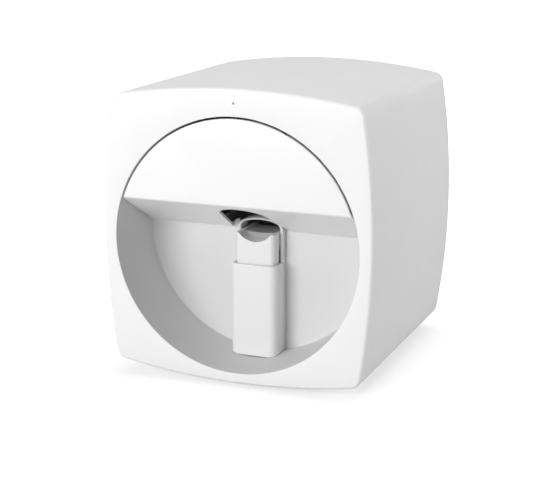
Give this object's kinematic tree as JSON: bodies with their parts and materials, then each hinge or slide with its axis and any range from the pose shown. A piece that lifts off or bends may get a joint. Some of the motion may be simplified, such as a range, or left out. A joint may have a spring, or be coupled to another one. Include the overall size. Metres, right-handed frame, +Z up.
{
  "type": "nail printer",
  "caption": "Desktop nail printer: bowed white housing, round front recess with hinged visor and sprung finger rest, ink carriage on crossed rods.",
  "frame": {"origin": "middle of the footprint's box, at the level of the feet's undersides", "axes": "+X to the right seen from the front, +Y back from the opening, +Z up"},
  "size_m": [0.242, 0.234, 0.2555],
  "materials": {
    "white_shell": "fine satin",
    "white_trim": "satin",
    "recess_white": "matte",
    "finger_white": "satin",
    "pad_grey": "soft matte",
    "indicator": "clear gloss",
    "screw_steel": "brushed",
    "magnet": "plated",
    "spring_steel": "drawn",
    "foot_rubber": "matte",
    "sheet_steel": "zinc plated",
    "rod_steel": "ground",
    "bronze": "sintered",
    "motor_body": "satin black",
    "pulley_metal": "turned",
    "belt_rubber": "ribbed",
    "slide_plastic": "matte",
    "strip_film": "film",
    "cartridge_plastic": "gloss",
    "latch_plastic": "gloss",
    "seal_rubber": "soft",
    "camera_black": "matte",
    "lens_glass": "coated",
    "light_white": "diffusing",
    "board_green": "solder mask",
    "fan_black": "matte",
    "switch_black": "matte"
  },
  "bodies": {
    "housing": {"housing_shell": "white_shell", "front_bezel": "white_trim", "recess_bowl": "recess_white", "rear_cover": "white_shell", "cover_screws": "screw_steel", "bowl_screws": "screw_steel", "indicator_lens": "indicator", "foot_front_left": "foot_rubber", "foot_front_right": "foot_rubber", "foot_rear_left": "foot_rubber", "foot_rear_right": "foot_rubber", "foot_screws": "screw_steel", "visor_hinge_pins": "screw_steel", "catch_magnets": "magnet", "finger_sleeve": "finger_white", "cradle_spring": "spring_steel", "spring_seat": "slide_plastic", "finger_tunnel": "finger_white", "tunnel_stand": "slide_plastic", "base_tray": "sheet_steel", "side_frame_left": "sheet_steel", "side_frame_right": "sheet_steel", "top_bridge": "sheet_steel", "frame_screws": "screw_steel", "y_rail_left": "rod_steel", "y_rail_right": "rod_steel", "y_motor": "motor_body", "y_belt": "belt_rubber", "cap_station": "slide_plastic", "cap_seal": "seal_rubber", "camera_module": "camera_black", "camera_lens": "lens_glass", "light_bar": "light_white", "main_board": "board_green", "fan_frame": "fan_black", "power_inlet": "switch_black", "switch_frame": "switch_black"},
    "visor": {"visor": "white_trim", "visor_magnets": "magnet"},
    "cradle": {"finger_cradle": "finger_white", "cradle_pad": "pad_grey"},
    "rocker": {"power_rocker": "switch_black"},
    "fan": {"fan_rotor": "fan_black"},
    "cross_slide": {"y_block_left": "slide_plastic", "y_block_right": "slide_plastic", "y_bushes": "bronze", "x_rail_upper": "rod_steel", "x_rail_lower": "rod_steel", "x_motor": "motor_body", "x_belt": "belt_rubber", "encoder_strip": "strip_film"},
    "carriage": {"x_carriage": "slide_plastic", "x_bushes": "bronze", "ink_cartridge": "cartridge_plastic"},
    "latch": {"cartridge_latch": "latch_plastic"},
    "y_drive_pulley": {"y_pulley": "pulley_metal"},
    "y_idler_pulley": {"y_idler": "pulley_metal"},
    "x_drive_pulley": {"x_pulley": "pulley_metal"},
    "x_idler_pulley": {"x_idler": "pulley_metal"}
  },
  "joints": [
    {"name": "visor_tilt", "type": "hinge", "parent": "housing", "child": "visor", "pos_m": [0, -0.1155, 0.2215], "axis": [-1, 0, 0], "range_deg": [0, 80]},
    {"name": "cradle_slide", "type": "slide", "parent": "housing", "child": "cradle", "axis": [0, 0, 1], "range_m": [-0.012, 0], "stiffness_N_per_m": 350, "springref_m": 0.006, "deforming": ["cradle_spring"]},
    {"name": "power_switch", "type": "hinge", "parent": "housing", "child": "rocker", "pos_m": [-0.042, 0.101, 0.0455], "axis": [0, 0, 1], "range_deg": [-16, 0]},
    {"name": "fan_spin", "type": "hinge", "parent": "housing", "child": "fan", "pos_m": [0, 0.103, 0.1865], "axis": [0, 1, 0], "continuous": true},
    {"name": "carriage_y", "type": "slide", "parent": "housing", "child": "cross_slide", "axis": [0, 1, 0], "range_m": [-0.012, 0.02]},
    {"name": "carriage_x", "type": "slide", "parent": "cross_slide", "child": "carriage", "axis": [1, 0, 0], "range_m": [-0.052, 0.052]},
    {"name": "latch_swing", "type": "hinge", "parent": "carriage", "child": "latch", "pos_m": [0, -0.05, 0.1495], "axis": [1, 0, 0], "range_deg": [0, 90]},
    {"name": "y_pulley_spin", "type": "hinge", "parent": "housing", "child": "y_drive_pulley", "pos_m": [0.09, 0.067, 0.1225], "axis": [-1, 0, 0], "range_deg": [-120, 180]},
    {"name": "y_idler_spin", "type": "hinge", "parent": "housing", "child": "y_idler_pulley", "pos_m": [0.09, -0.033, 0.1225], "axis": [-1, 0, 0], "range_deg": [-120, 180]},
    {"name": "x_pulley_spin", "type": "hinge", "parent": "cross_slide", "child": "x_drive_pulley", "pos_m": [-0.068, 0.045, 0.1765], "axis": [0, 1, 0], "range_deg": [-420, 420]},
    {"name": "x_idler_spin", "type": "hinge", "parent": "cross_slide", "child": "x_idler_pulley", "pos_m": [0.068, 0.045, 0.1765], "axis": [0, 1, 0], "range_deg": [-420, 420]}
  ],
  "couplings": [
    {"joint": "y_pulley_spin", "follows": "carriage_y", "rad_per_m": 136.99},
    {"joint": "y_idler_spin", "follows": "carriage_y", "rad_per_m": 136.99},
    {"joint": "x_pulley_spin", "follows": "carriage_x", "rad_per_m": 136.99},
    {"joint": "x_idler_spin", "follows": "carriage_x", "rad_per_m": 136.99}
  ]
}
